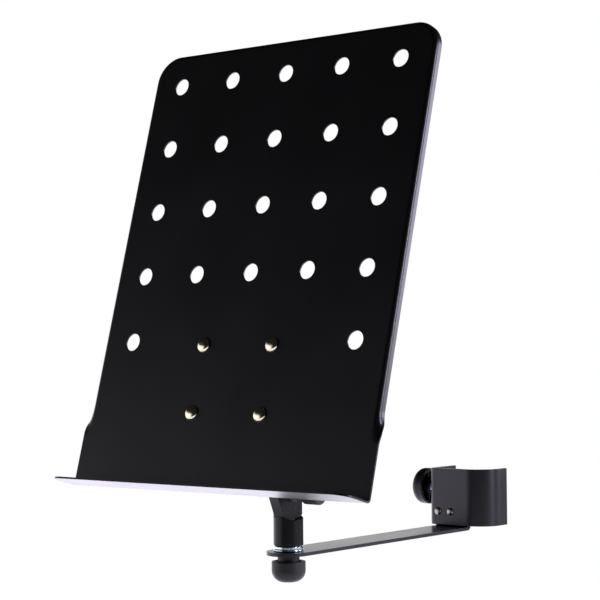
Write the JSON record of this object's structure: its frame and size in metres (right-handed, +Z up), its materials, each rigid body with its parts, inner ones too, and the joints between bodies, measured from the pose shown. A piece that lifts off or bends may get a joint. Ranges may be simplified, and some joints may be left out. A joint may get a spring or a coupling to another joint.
{
  "type": "music stand",
  "caption": "Clamp-on music desk: perforated sheet-metal desk with a page shelf, tilting on a short post at the end of a flat arm, with a screw clamp for a round pole.",
  "frame": {"origin": "on the axis of the gripped pole, at the clamp bracket's mid height", "axes": "+Z up along the pole; the arm runs from the clamp towards -Y and the desk faces -Y; +X is the viewer's right when facing the desk"},
  "size_m": [0.2368, 0.3087, 0.345],
  "materials": {
    "powder_coat": "satin black powder coat on steel sheet",
    "cast_black": "semi-gloss black paint on a casting",
    "knob_plastic": "moulded black plastic",
    "zinc_plate": "bright blue zinc plating",
    "rivet_nickel": "bright warm nickel plating",
    "rivet_black": "black coated steel with rubbed crowns",
    "insert_brass": "machined brass",
    "pad_rubber": "moulded black rubber"
  },
  "bodies": {
    "arm": {"clamp_bracket": "powder_coat", "clamp_bush": "zinc_plate", "arm_strip": "powder_coat", "arm_rivet_1": "rivet_black", "arm_rivet_2": "rivet_black", "flat_washer": "zinc_plate", "spring_washer": "zinc_plate"},
    "pad": {"clamp_pad": "pad_rubber"},
    "clamp_lock": {"clamp_knob": "knob_plastic", "clamp_screw": "zinc_plate"},
    "post": {"post": "cast_black", "post_insert": "insert_brass", "tilt_insert": "insert_brass", "friction_washer": "pad_rubber"},
    "swivel_lock": {"swivel_knob": "knob_plastic", "swivel_screw": "zinc_plate"},
    "tilt_lock": {"tilt_knob": "knob_plastic", "tilt_screw": "zinc_plate", "tilt_washer": "zinc_plate"},
    "desk": {"tilt_bracket": "cast_black", "desk_plate": "powder_coat", "desk_rivet_1": "rivet_nickel", "desk_rivet_2": "rivet_nickel", "desk_rivet_3": "rivet_nickel", "desk_rivet_4": "rivet_nickel"}
  },
  "joints": [
    {"name": "pad_slide", "type": "slide", "parent": "arm", "child": "pad", "axis": [1, 0, 0], "range_m": [-0.0135, 0.004]},
    {"name": "clamp_screw_turn", "type": "hinge", "parent": "pad", "child": "clamp_lock", "pos_m": [0, 0, 0.0055], "axis": [1, 0, 0], "range_deg": [-3888, 1152]},
    {"name": "desk_swivel", "type": "hinge", "parent": "arm", "child": "post", "pos_m": [-0.016, -0.1995, -0.01745], "axis": [0, 0, 1], "continuous": true},
    {"name": "swivel_lock_turn", "type": "hinge", "parent": "arm", "child": "swivel_lock", "pos_m": [-0.016, -0.1995, -0.0269], "axis": [0, 0, 1], "range_deg": [-720, 0]},
    {"name": "desk_tilt", "type": "hinge", "parent": "post", "child": "desk", "pos_m": [-0.016, -0.1995, 0.01605], "axis": [1, 0, 0], "range_deg": [-60, 20]},
    {"name": "tilt_lock_turn", "type": "hinge", "parent": "post", "child": "tilt_lock", "pos_m": [-0.016, -0.1995, 0.01605], "axis": [1, 0, 0], "range_deg": [0, 720]}
  ],
  "couplings": [
    {"joint": "clamp_screw_turn", "follows": "pad_slide", "rad_per_m": 5026.5}
  ]
}
